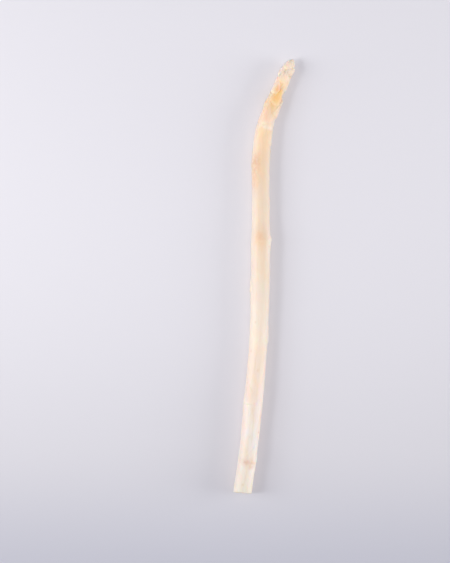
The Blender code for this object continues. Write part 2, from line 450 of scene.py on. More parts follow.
@dataclass(frozen=True)
class Shoot:
    """The bare shoot: its middle line, its thickness, and the joints that its scale leaves grow from.

    The middle line is given as distances forward and to the right, the radius as distances along the
    shoot and radii, and the shaft's joints as distances along it and how far each swells the skin.
    """

    middle_line_mm: Knots = (
        (0.0, -0.15), (24.0, 3.1), (54.0, 6.2), (85.0, 8.7), (116.0, 9.85),
        (147.0, 10.15), (178.0, 10.15), (193.0, 10.5), (204.0, 11.75), (214.0, 14.60),
        (224.0, 18.45), (234.0, 22.55), (241.0, 25.8), (246.5, 29.3),
    )
    radius_mm: Knots = (
        (0.0, 5.37), (25.0, 5.18), (55.0, 5.45), (85.0, 5.20), (112.0, 5.42), (141.0, 5.35),
        (165.0, 5.05), (195.0, 5.05), (206.0, 4.80), (214.0, 4.58), (222.0, 3.95), (230.0, 3.30),
        (238.0, 3.40), (244.0, 2.58), (248.0, 1.70), (249.6, 0.90),
    )
    shaft_joints_mm: Knots = (
        (15.3, 0.25), (37.5, 0.25), (48.5, 0.20), (84.0, 0.20), (112.0, 0.20),
        (141.0, 0.70), (162.5, 0.30), (183.0, 0.20), (196.0, 0.20), (203.0, 0.20),
    )
    rest_depth: float = 0.14 * MM
    level_from: float = 200.0 * MM
    swelling_length: float = 4.2 * MM
    head_start: float = 209.3 * MM
    head_joints: int = 16
    head_first_gap: float = 4.0 * MM
    head_gap_ratio: float = 0.92
    first_azimuth: float = math.radians(45.0)
    golden_angle: float = math.radians(137.5)
    leaf_length: float = 12.6 * MM
    leaf_spare: float = 1.9 * MM
    leaf_share_of_rest: float = 0.5
    leaf_half_angle: float = math.radians(66.0)
    tip_half_angle: float = math.radians(86.0)
    head_tip_rise: float = 0.32 * MM
    closing_length: float = 3.2 * MM
    length_variation: float = 0.06
    azimuth_variation: float = math.radians(5.0)
    leaf_seed: int = 11
    traits: dict[int, Trait] = field(
        default_factory=lambda: {
            0: Trait(fullness=0.75),
            1: Trait(fullness=0.7),
            2: Trait(fullness=0.5),
            3: Trait(fullness=0.7),
            5: Trait(fullness=0.4),
            7: Trait(fullness=0.45),
            8: Trait(fullness=0.5),
            10: Trait(Hue.ROSE, 0.78, base_mm=207.6, length_mm=14.3, tip_rise_mm=0.15),
            11: Trait(fullness=0.79, turn_deg=-18.0, length_mm=14.0, tip_rise_mm=1.90),
            12: Trait(Hue.GOLD, 0.85),
            13: Trait(Hue.GOLD, 0.8, tip_rise_mm=0.15),
            15: Trait(Hue.BLUSH, tip_rise_mm=0.12),
            16: Trait(tip_rise_mm=0.15),
            18: Trait(Hue.BLUSH, length_mm=8.2, tip_rise_mm=0.12),
            19: Trait(Hue.BLUSH),
            20: Trait(Hue.BLUSH),
            21: Trait(turn_deg=22.0, length_mm=6.2, tip_rise_mm=1.15),
            23: Trait(Hue.BLUSH),
        }
    )
    knobs: tuple[Knob, ...] = (
        Knob(143.8, 76.0, height_mm=0.75, length_mm=2.4, spread_deg=24.0),
        Knob(243.0, 80.0, height_mm=0.60, length_mm=2.4, spread_deg=42.0),
    )
    ribs: Ripples = Ripples(0.016 * MM, (17, 23, 31, 40), 32.0 * MM, wander=1.1, seed=3)
    unevenness: Ripples = Ripples(0.045 * MM, (1, 2, 3, 4), 9.0 * MM, wander=1.9, seed=5)
    inset: float = 0.05 * MM
    line_step: float = 0.25 * MM
    tangent_reach: float = 0.5 * MM

    @property
    def length(self) -> float:
        """The shoot's length along its middle line."""
        return self.radius_mm[-1][0] * MM

    @cached_property
    def radius(self) -> Spline:
        """The bare radius at a distance along the middle line."""
        return Spline(self.radius_mm)

    @cached_property
    def sideways(self) -> Spline:
        """The middle line's shift sideways at a distance forward."""
        return Spline(self.middle_line_mm)

    @cached_property
    def forward(self) -> np.ndarray:
        """Distances forward at even steps."""
        return np.arange(0.0, self.length, self.line_step)

    @cached_property
    def along(self) -> np.ndarray:
        """The distance along the middle line at each of the distances forward."""
        steps = np.hypot(np.diff(self.forward), np.diff(self.sideways(self.forward)))
        return np.concatenate([[0.0], np.cumsum(steps)])

    @cached_property
    def leaves(self) -> tuple[Leaf, ...]:
        """The scale leaves in their spiral.

        Returns:
            The leaves, from the butt to the tip.
        """
        joints = [place * MM for place, _ in self.shaft_joints_mm]
        head_joint, gap = self.head_start, self.head_first_gap
        for _ in range(self.head_joints):
            joints.append(head_joint)
            head_joint += gap
            gap *= self.head_gap_ratio
        draw = random.Random(self.leaf_seed)
        return tuple(self.leaf_at(number, joint, draw) for number, joint in enumerate(joints))

    def leaf_at(self, number: int, joint: float, draw: random.Random) -> Leaf:
        """One scale leaf, by the rule for all and by what sets it apart.

        Args:
            number: Its place in the spiral.
            joint: How far from the butt the rule has it join the shoot.
            draw: Draws how far its length and its azimuth are off the rule.

        Returns:
            The leaf.
        """
        trait = self.traits.get(number, Trait())
        base = own_or_rule(trait.base_mm, joint)
        rest = self.length - base
        in_head = max(0.0, 1 - rest / (self.length - self.head_start))
        length = self.leaf_length * (1 + self.length_variation * draw.uniform(-1, 1))
        length = min(length, self.leaf_spare + self.leaf_share_of_rest * rest)
        turn = self.azimuth_variation * draw.uniform(-1, 1) + math.radians(trait.turn_deg)
        return Leaf(
            number=number,
            base=base,
            azimuth=self.first_azimuth + number * self.golden_angle + turn,
            length=own_or_rule(trait.length_mm, length),
            half_angle=blend(self.leaf_half_angle, self.tip_half_angle, in_head),
            tip_rise=own_or_rule(trait.tip_rise_mm, self.head_tip_rise if base >= self.head_start else 0.0),
            hue=trait.hue,
            fullness=trait.fullness,
        )

    def centre(self, along: np.ndarray) -> np.ndarray:
        """The middle line, where the spear lies.

        Args:
            along: Distances from the butt, which may start a little below 0.

        Returns:
            The point of the line at each distance.
        """
        forward = np.interp(along, self.along, self.forward) + np.minimum(along, 0.0)
        height = self.radius(np.minimum(along, self.level_from)) - self.rest_depth
        return np.stack([self.sideways(forward), forward, height], axis=-1)

    def bent(self, points: np.ndarray) -> np.ndarray:
        """Moves points of the straight spear to where they lie on the bent one.

        Args:
            points: Places on the straight spear, whose middle line is the Y axis.

        Returns:
            The same places round the bent middle line.
        """
        along = points[:, 1]
        reach = self.tangent_reach
        ahead = self.centre(along + reach) - self.centre(along - reach)
        ahead /= np.linalg.norm(ahead, axis=1, keepdims=True)
        right = np.cross(ahead, (0.0, 0.0, 1.0))
        right /= np.linalg.norm(right, axis=1, keepdims=True)
        up = np.cross(right, ahead)
        return self.centre(along) + points[:, :1] * right + points[:, 2:] * up

    def skin_radius(self, along: np.ndarray, azimuth: np.ndarray) -> np.ndarray:
        """The radius of the bare skin, with its swellings, knobs, ribs and unevenness.

        Args:
            along: Distances from the butt.
            azimuth: Azimuths on the spear.

        Returns:
            The radius at each of these places.
        """
        radius = self.radius(np.minimum(along, self.length)) - self.inset
        slender = radius / self.radius(np.zeros(1))
        for (joint, swelling), leaf in zip(self.shaft_joints_mm, self.leaves):
            facing = (1 + np.cos(azimuth - leaf.azimuth)) / 2
            radius = radius + swelling * MM * facing * mound((along - joint * MM) / self.swelling_length)
        for knob in self.knobs:
            radius = radius + knob.rise(along, azimuth)
        waves = self.ribs.at(along, azimuth) + self.unevenness.at(along, azimuth)
        return radius + waves * slender

    def leaf_radius(self, leaf: Leaf, u: np.ndarray, v: np.ndarray, depth: np.ndarray) -> np.ndarray:
        """The radius of a place in a leaf.

        Args:
            leaf: The leaf.
            u: How far up it.
            v: How far across it.
            depth: 0 on its outer face and 1 on its inner one.

        Returns:
            The distance from the middle line.
        """
        along, azimuth = leaf.spot(u, v)
        skin = self.skin_radius(along, azimuth)
        closing = np.sqrt(np.clip((self.length - along) / self.closing_length, 0.0, 1.0))
        outer = skin + leaf.rise(u, v) * closing
        inner = blend(skin - leaf.form.root_depth, outer - leaf.thickness(u, v), leaf.freedom(u, v))
        return np.maximum(blend(outer, inner, depth), leaf.form.start_depth)


class Bench:
    """Modelling steps that every piece needs."""

    @staticmethod
    def clear() -> None:
        """Deselects every object."""
        bpy.ops.object.select_all(action="DESELECT")

    @staticmethod
    def take(piece: Piece) -> None:
        """Makes this the one selected and active object.

        Args:
            piece: The object.
        """
        Bench.clear()
        piece.select_set(True)
        bpy.context.view_layer.objects.active = piece

    @staticmethod
    @contextmanager
    def editing(piece: Piece) -> Iterator[None]:
        """Holds an object in edit mode.

        Args:
            piece: The object.

        Returns:
            The context that it is held in.
        """
        Bench.take(piece)
        bpy.ops.object.mode_set(mode="EDIT")
        yield
        bpy.ops.object.mode_set(mode="OBJECT")

    @staticmethod
    def select(piece: Piece, kind: Select, wanted: Callable[[Sequence[Vector]], bool]) -> None:
        """Selects parts of the object that is in edit mode.

        Args:
            piece: The object.
            kind: Whether points or edges are selected.
            wanted: Says from a part's corners whether it is selected.
        """
        bpy.ops.mesh.select_mode(type=kind.value)
        bpy.ops.mesh.select_all(action="DESELECT")
        builder = bmesh.from_edit_mesh(piece.data)
        for part in builder.verts if kind is Select.POINTS else builder.edges:
            corners = [part.co] if kind is Select.POINTS else [corner.co for corner in part.verts]
            part.select_set(bool(wanted(corners)))
        bmesh.update_edit_mesh(piece.data)

    @staticmethod
    def face_outwards() -> None:
        """Turns every face of the object in edit mode outwards."""
        bpy.ops.mesh.select_all(action="SELECT")
        bpy.ops.mesh.normals_make_consistent(inside=False)

    @staticmethod
    def finish_with(piece: Piece, kind: str, **settings: object) -> None:
        """Gives an object a modifier and applies it.

        Args:
            piece: The object.
            kind: The modifier's type in Blender.
            **settings: The modifier's settings.
        """
        Bench.take(piece)
        modifier = piece.modifiers.new("finish", kind)
        for name, value in settings.items():
            setattr(modifier, name, value)
        bpy.ops.object.modifier_apply(modifier=modifier.name)

    @staticmethod
    def points(piece: Piece) -> np.ndarray:
        """The places of an object's points.

        Args:
            piece: The object.

        Returns:
            A row of x, y and z for each point.
        """
        flat = np.empty(len(piece.data.vertices) * 3)
        piece.data.vertices.foreach_get("co", flat)
        return flat.reshape(-1, 3)

    @staticmethod
    def place(piece: Piece, points: np.ndarray) -> None:
        """Moves the object's points to these places."""
        piece.data.vertices.foreach_set("co", points.astype(np.float32).ravel())
        piece.data.update()

    @staticmethod
    def mark_points(piece: Piece, mark: Mark, values: np.ndarray) -> None:
        """Stores a vector for each point of the object."""
        kept = piece.data.attributes.new(mark.value, "FLOAT_VECTOR", "POINT")
        kept.data.foreach_set("vector", values.astype(np.float32).ravel())

    @staticmethod
    def mark_corners(piece: Piece, mark: Mark, values: np.ndarray) -> None:
        """Stores a vector at each corner of the object's faces.

        Args:
            piece: The object.
            mark: What the vector says.
            values: The vector for each point, which all corners that lie there get.
        """
        at_point = np.empty(len(piece.data.loops), dtype=int)
        piece.data.loops.foreach_get("vertex_index", at_point)
        kept = piece.data.attributes.new(mark.value, "FLOAT_VECTOR", "CORNER")
        kept.data.foreach_set("vector", values[at_point].astype(np.float32).ravel())


@dataclass(frozen=True)
class Fade:
    """A smooth way from a low value to a high one, and what comes out up to it and from it on."""

    low: float
    high: float
    start: float = 0.0
    end: float = 1.0


@dataclass(frozen=True)
class Texture:
    """Noise, whose scale says how many patches it has to a metre, in all or along each of x, y and z."""

    scale: Scale
    detail: float = 2.0
    fade: Fade = Fade(0.0, 1.0)


@dataclass(frozen=True)
class Specks:
    """Small specks with ragged edges, each of which fades from its middle and is strong or weak by chance."""

    scale: Scale
    size: Fade
    strength: Fade
    edge: Texture
    raggedness: float


class Recipe:
    """A material's nodes, added one by one."""

    def __init__(self, name: str) -> None:
        """Starts a material that holds only its shader.

        Args:
            name: The material's name.
        """
        self.material = bpy.data.materials.new(name)
        self.material.use_nodes = True
        self.tree = self.material.node_tree
        self.shader = self.tree.nodes["Principled BSDF"]

    def set(self, node: bpy.types.Node, inputs: dict[str | int, object]) -> None:
        """Links or sets inputs of a node.

        Args:
            node: The node.
            inputs: What each input is linked to, if it is a socket, or else set to.
        """
        for name, value in inputs.items():
            if isinstance(value, Socket):
                self.tree.links.new(value, node.inputs[name])
            else:
                node.inputs[name].default_value = value

    def add(self, kind: str, inputs: dict[str | int, object], **settings: object) -> bpy.types.Node:
        """Adds a node.

        Args:
            kind: The node's type in Blender.
            inputs: What its inputs are linked or set to.
            **settings: Its other settings.

        Returns:
            The node.
        """
        node = self.tree.nodes.new(kind)
        for name, value in settings.items():
            setattr(node, name, value)
        self.set(node, inputs)
        return node

    def vector(self, mark: Mark) -> Socket:
        """A vector that the mesh stores."""
        return self.add("ShaderNodeAttribute", {}, attribute_name=mark.value).outputs["Vector"]

    def split(self, vector: Socket) -> list[Socket]:
        """The three parts of a vector."""
        return list(self.add("ShaderNodeSeparateXYZ", {"Vector": vector}).outputs)

    def maths(self, operation: str, *values: object) -> Socket:
        """The result of a sum on sockets and numbers."""
        return self.add("ShaderNodeMath", dict(enumerate(values)), operation=operation).outputs[0]

    def times(self, first: object, second: object) -> Socket:
        """Two values multiplied."""
        return self.maths("MULTIPLY", first, second)

    def ragged(self, value: Socket, noise: Socket, amount: float) -> Socket:
        """The value with this amount of noise added, so that what it fades has a ragged edge."""
        return self.maths("MULTIPLY_ADD", noise, amount, value)

    def ranged(self, value: Socket, fade: Fade) -> Socket:
        """What comes out of a fade at a value.

        Args:
            value: The socket that is read.
            fade: The fade.

        Returns:
            The socket of the result.
        """
        inputs = {"Value": value, "From Min": fade.low, "From Max": fade.high}
        inputs |= {"To Min": fade.start, "To Max": fade.end}
        return self.add("ShaderNodeMapRange", inputs, interpolation_type="SMOOTHSTEP").outputs["Result"]

    def texture_node(self, kind: str, place: Socket, scale: Scale, **inputs: float) -> bpy.types.Node:
        """Adds a texture's node.

        Args:
            kind: The node's type in Blender.
            place: The place that the texture is read at.
            scale: How many patches it has to a metre.
            **inputs: What its other inputs are set to.

        Returns:
            The node.
        """
        if isinstance(scale, tuple):
            place = self.add("ShaderNodeMapping", {"Vector": place, "Scale": scale}).outputs["Vector"]
            scale = 1.0
        return self.add(kind, {"Vector": place, "Scale": scale, **inputs})

    def noise(self, place: Socket, texture: Texture) -> Socket:
        """The texture's bare noise, from 0 to 1."""
        node = self.texture_node("ShaderNodeTexNoise", place, texture.scale, Detail=texture.detail)
        return node.outputs["Fac"]

    def pattern(self, place: Socket, texture: Texture) -> Socket:
        """The texture's noise as its fade gives it."""
        return self.ranged(self.noise(place, texture), texture.fade)

    def scattered(self, place: Socket, specks: Specks) -> tuple[Socket, Socket]:
        """Small specks, scattered by chance.

        Args:
            place: The place that they are read at.
            specks: Their size, strength and spread.

        Returns:
            The sockets of how far a place is in a speck, and of how strong that speck is.
        """
        cells = self.texture_node("ShaderNodeTexVoronoi", place, specks.scale)
        away = self.ragged(cells.outputs["Distance"], self.noise(place, specks.edge), specks.raggedness)
        chance = self.split(cells.outputs["Color"])[0]
        return self.ranged(away, specks.size), self.ranged(chance, specks.strength)

    def mixed(self, share: Socket, under: Socket | Colour, over: Colour) -> Socket:
        """Two colours mixed.

        Args:
            share: How much of the second shows, from 0 to 1.
            under: The colour underneath, as a socket or as a screen shows it.
            over: The colour on top, as a screen shows it.

        Returns:
            The socket of the mixed colour.
        """
        node = self.add("ShaderNodeMix", {}, data_type="RGBA")
        first = linear(*under) if isinstance(under, tuple) else under
        self.set(node, {0: share, 6: first, 7: linear(*over)})
        return node.outputs[2]

    def ramp(self, value: Socket, stops: Sequence[tuple[float, Colour]]) -> Socket:
        """A colour that changes with a value.

        Args:
            value: The socket that is read, from 0 to 1.
            stops: Each place and the colour there, as a screen shows it.

        Returns:
            The socket of the colour.
        """
        node = self.add("ShaderNodeValToRGB", {"Fac": value})
        stock = node.color_ramp.elements
        while len(stock) < len(stops):
            stock.new(1.0)
        for element, (place, colour) in zip(stock, stops):
            element.position = place
            element.color = linear(*colour)
        return node.outputs["Color"]

    def bump(self, height: Socket, distance: float, below: Socket | None = None) -> Socket:
        """A surface raised by a height.

        Args:
            height: The socket of the height, from 0 to 1.
            distance: How high 1 is, in metres.
            below: The bumped surface that this one goes on, if any.

        Returns:
            The socket of the new surface's normal.
        """
        inputs = {"Height": height, "Distance": distance, "Strength": 1.0}
        if below is not None:
            inputs["Normal"] = below
        return self.add("ShaderNodeBump", inputs).outputs["Normal"]


@dataclass(frozen=True)
class Flesh:
    """The living flesh that every surface of the spear shows: its tones from butt to tip, the painted shade
    on its flanks, and its glow.
    """

    length: float
    tones: tuple[tuple[float, Colour], ...] = (
        (0.00, (254, 238, 222)), (0.13, (254, 239, 231)), (0.20, (254, 236, 227)),
        (0.25, (250, 230, 214)), (0.32, (247, 229, 212)), (0.36, (245, 232, 216)),
        (0.45, (238, 226, 209)), (0.57, (238, 220, 197)), (0.67, (236, 220, 198)),
        (0.76, (238, 216, 187)), (0.82, (250, 222, 187)), (0.85, (250, 222, 200)),
        (0.88, (250, 218, 176)), (0.91, (250, 217, 165)), (0.96, (247, 228, 202)),
        (1.00, (244, 232, 216)),
    )
    # Painted shade: away from crest_angle the flanks are mixed towards this darker, greyer tone, standing in
    # for side light and grazing sheen.
    painted_flank_shade_tone: Colour = (235, 223, 213)
    patch_tone: Colour = (246, 214, 176)
    fibre_tone: Colour = (236, 208, 172)
    # Brown, orange and pale; the pale tone also paints one highlight.
    stain_and_highlight_tones: tuple[Colour, ...] = ((214, 166, 118), (247, 186, 106), (254, 247, 240))
    crest_angle: float = math.radians(10.0)
    painted_flank_shade_fade: Fade = Fade(math.radians(22.0), math.radians(70.0), 0.0, 0.60)
    drift: Texture = Texture(55.0, 2.0, Fade(0.2, 0.8, -0.012, 0.012))
    patches: Texture = Texture((260.0, 70.0, 260.0), 3.0, Fade(0.48, 0.78, 0.0, 0.4))
    fibres: Texture = Texture((2100.0, 60.0, 2100.0), 3.0, Fade(0.5, 0.75, 0.0, 0.4))
    stain_edges: Texture = Texture(650.0, 4.0, Fade(0.25, 0.75, 0.55, 1.25))
    lines: Texture = Texture((2600.0, 90.0, 2600.0))
    line_height: float = 0.10 * MM
    grain: Texture = Texture((5200.0, 2600.0, 5200.0))
    grain_height: float = 0.02 * MM
    ior: float = 1.42
    glow: float = 1.0
    glow_radius: Colour = (1.0, 0.68, 0.46)
    glow_depth: float = 3.2 * MM
    thin_glow_depth: float = 0.35 * MM
    bloom: float = 0.12
    bloom_roughness: float = 0.45

    def colour(self, recipe: Recipe, straight: Socket) -> Socket:
        """The flesh's colour with its patches, lengthwise fibres and stains, and painted shade that darkens
        and greys its flanks away from the crest.

        Args:
            recipe: The material that it goes into.
            straight: The place on the straight spear.

        Returns:
            The socket of the colour.
        """
        x, y, z = recipe.split(straight)
        share = recipe.maths("DIVIDE", y, self.length)
        tone = recipe.ramp(recipe.maths("ADD", share, recipe.pattern(straight, self.drift)), self.tones)
        # Painted shade on the flanks, growing with the turn away from the crest.
        round_from_crest = recipe.maths("SUBTRACT", recipe.maths("ARCTAN2", x, z), self.crest_angle)
        painted_flank_shade = recipe.ranged(recipe.maths("ABSOLUTE", round_from_crest), self.painted_flank_shade_fade)
        tone = recipe.mixed(painted_flank_shade, tone, self.painted_flank_shade_tone)
        tone = recipe.mixed(recipe.pattern(straight, self.patches), tone, self.patch_tone)
        tone = recipe.mixed(recipe.pattern(straight, self.fibres), tone, self.fibre_tone)
        edges = recipe.pattern(straight, self.stain_edges)
        for amount, skin_patch_tone in zip(recipe.split(recipe.vector(Mark.BLEMISHES)), self.stain_and_highlight_tones):
            shown = recipe.maths("MINIMUM", recipe.times(amount, edges), 1.0)
            tone = recipe.mixed(shown, tone, skin_patch_tone)
        return tone

    def fibre_normal(self, recipe: Recipe, straight: Socket) -> Socket:
        """The feel of the skin: fine lengthwise fibres over a faint grain.

        Args:
            recipe: The material that it goes into.
            straight: The place on the straight spear.

        Returns:
            The socket of the bumped normal.
        """
        lines = recipe.bump(recipe.noise(straight, self.lines), self.line_height)
        return recipe.bump(recipe.noise(straight, self.grain), self.grain_height, lines)

    def set_surface(
        self, recipe: Recipe, colour: Socket, roughness: Socket, normal: Socket, depth: Socket | float
    ) -> None:
        """Gives the material its colour, its gloss and the light that glows through it.

        Args:
            recipe: The material.
            colour: Its colour.
            roughness: Its roughness.
            normal: Its bumped normal.
            depth: How deep the light goes.
        """
        recipe.set(
            recipe.shader,
            {
                "Base Color": colour,
                "Roughness": roughness,
                "Normal": normal,
                "IOR": self.ior,
                "Subsurface Weight": self.glow,
                "Subsurface Radius": self.glow_radius,
                "Subsurface Scale": depth,
                "Sheen Weight": self.bloom,
                "Sheen Roughness": self.bloom_roughness,
            },
        )


@dataclass(frozen=True)
class IvorySkin:
    """The bare skin: waxy ivory, finely fibrous, with a few brown specks."""

    flesh: Flesh
    name: str
    glow_depth: float
    speck_tone: Colour = (196, 142, 92)
    specks: Specks = Specks(
        scale=(230.0, 130.0, 230.0),
        size=Fade(0.09, 0.17, 1.0, 0.0),
        strength=Fade(0.80, 0.90, 0.0, 0.7),
        edge=Texture(3200.0, 3.0),
        raggedness=0.16,
    )
    wax: Texture = Texture(420.0, 3.0, Fade(0.3, 0.7, 0.36, 0.50))

    def material(self) -> bpy.types.Material:
        """Makes the material.

        Returns:
            The material.
        """
        recipe = Recipe(self.name)
        straight = recipe.vector(Mark.STRAIGHT)
        speck = recipe.times(*recipe.scattered(straight, self.specks))
        colour = recipe.mixed(speck, self.flesh.colour(recipe, straight), self.speck_tone)
        roughness = recipe.pattern(straight, self.wax)
        normal = self.flesh.fibre_normal(recipe, straight)
        self.flesh.set_surface(recipe, colour, roughness, normal, self.glow_depth)
        return recipe.material


@dataclass(frozen=True)
class Zone:
    """A tone that shows on part of a leaf, and the fade that says where."""

    tone: Colour
    fade: Fade


@dataclass(frozen=True)
class ScaleLeafSkin:
    """The scale leaves: the flesh's tone with its painted flank shade, flushed by each leaf's hues, with pale
    dry margins.
    """

    flesh: Flesh
    hue_tones: tuple[Colour, ...] = ((247, 220, 203), (250, 200, 126), (222, 178, 134))
    mottle: Texture = Texture(300.0, 4.0)
    face_mottle: float = 0.5
    face: Fade = Fade(0.25, 0.75, 0.0, 0.85)
    base_band: Zone = Zone((252, 230, 198), Fade(0.06, 0.26, 0.45, 0.0))
    base_line: Zone = Zone((216, 168, 120), Fade(0.05, 0.13, 1.0, 0.0))
    line_mottle: float = 0.06
    plain_line: float = 0.14
    tan_line: float = 0.7
    margin: Zone = Zone((250, 238, 226), Fade(0.72, 0.97, 0.0, 0.28))
    tip: Zone = Zone((246, 226, 204), Fade(0.86, 1.0, 0.0, 0.5))
    gloss: Fade = Fade(0.3, 0.7, 0.42, 0.54)
    free_margin: float = 0.16
    free_range: tuple[float, float] = (0.62, 0.86)

    def material(self) -> bpy.types.Material:
        """Makes the material.

        Returns:
            The material.
        """
        recipe = Recipe("scale_leaf")
        straight = recipe.vector(Mark.STRAIGHT)
        u, v, fullness = recipe.split(recipe.vector(Mark.LEAF_PLACE))
        hues = recipe.split(recipe.vector(Mark.LEAF_HUES))
        mottle = recipe.noise(straight, self.mottle)
        colour = self.flesh.colour(recipe, straight)
        face = recipe.ranged(recipe.ragged(u, mottle, self.face_mottle), self.face)
        for amount, tone in zip(hues, self.hue_tones):
            colour = recipe.mixed(recipe.times(face, amount), colour, tone)
        clear = recipe.maths("POWER", fullness, 2.0)
        line = recipe.maths("MULTIPLY_ADD", hues[-1], self.tan_line, self.plain_line)
        for zone, place, strength in (
            (self.base_band, u, clear),
            (self.base_line, recipe.ragged(u, mottle, self.line_mottle), recipe.times(line, clear)),
            (self.margin, recipe.maths("ABSOLUTE", v), clear),
            (self.tip, u, clear),
        ):
            colour = recipe.mixed(recipe.times(recipe.ranged(place, zone.fade), strength), colour, zone.tone)
        normal = self.flesh.fibre_normal(recipe, straight)
        free = recipe.maths("MULTIPLY_ADD", recipe.maths("POWER", v, 2.0), self.free_margin, u)
        depth = recipe.ranged(free, Fade(*self.free_range, self.flesh.glow_depth, self.flesh.thin_glow_depth))
        self.flesh.set_surface(recipe, colour, recipe.ranged(mottle, self.gloss), normal, depth)
        return recipe.material


@dataclass(frozen=True)
class CutFlesh:
    """The cut across the butt: moist pale flesh with the ends of its fibres, in a tougher rim."""

    flesh: Flesh
    radius: float
    heart_tone: Colour = (253, 243, 222)
    rim_tone: Colour = (250, 232, 204)
    rim: Fade = Fade(0.80, 0.97)
    rim_grain: float = 0.1
    grain: Texture = Texture(700.0, 4.0)
    grain_height: float = 0.08 * MM
    fibre_tone: Colour = (226, 200, 158)
    fibre_ends: Specks = Specks(
        scale=1150.0,
        size=Fade(0.22, 0.42, 1.0, 0.0),
        strength=Fade(0.2, 0.9, 0.15, 0.8),
        edge=Texture(2800.0, 3.0),
        raggedness=0.34,
    )
    fibre_height: float = 0.05 * MM
    gloss: Fade = Fade(0.3, 0.7, 0.30, 0.50)

    def material(self) -> bpy.types.Material:
        """Makes the material.

        Returns:
            The material.
        """
        recipe = Recipe("cut_flesh")
        straight = recipe.vector(Mark.STRAIGHT)
        x, _, z = recipe.split(straight)
        squares = recipe.maths("ADD", recipe.maths("POWER", x, 2.0), recipe.maths("POWER", z, 2.0))
        outward = recipe.maths("DIVIDE", recipe.maths("SQRT", squares), self.radius)
        grain = recipe.noise(straight, self.grain)
        rim = recipe.ranged(recipe.ragged(outward, grain, self.rim_grain), self.rim)
        ends, strength = recipe.scattered(straight, self.fibre_ends)
        colour = recipe.mixed(rim, self.heart_tone, self.rim_tone)
        colour = recipe.mixed(recipe.times(ends, strength), colour, self.fibre_tone)
        normal = recipe.bump(grain, self.grain_height, recipe.bump(ends, self.fibre_height))
        roughness = recipe.ranged(grain, self.gloss)
        self.flesh.set_surface(recipe, colour, roughness, normal, self.flesh.glow_depth)
        return recipe.material


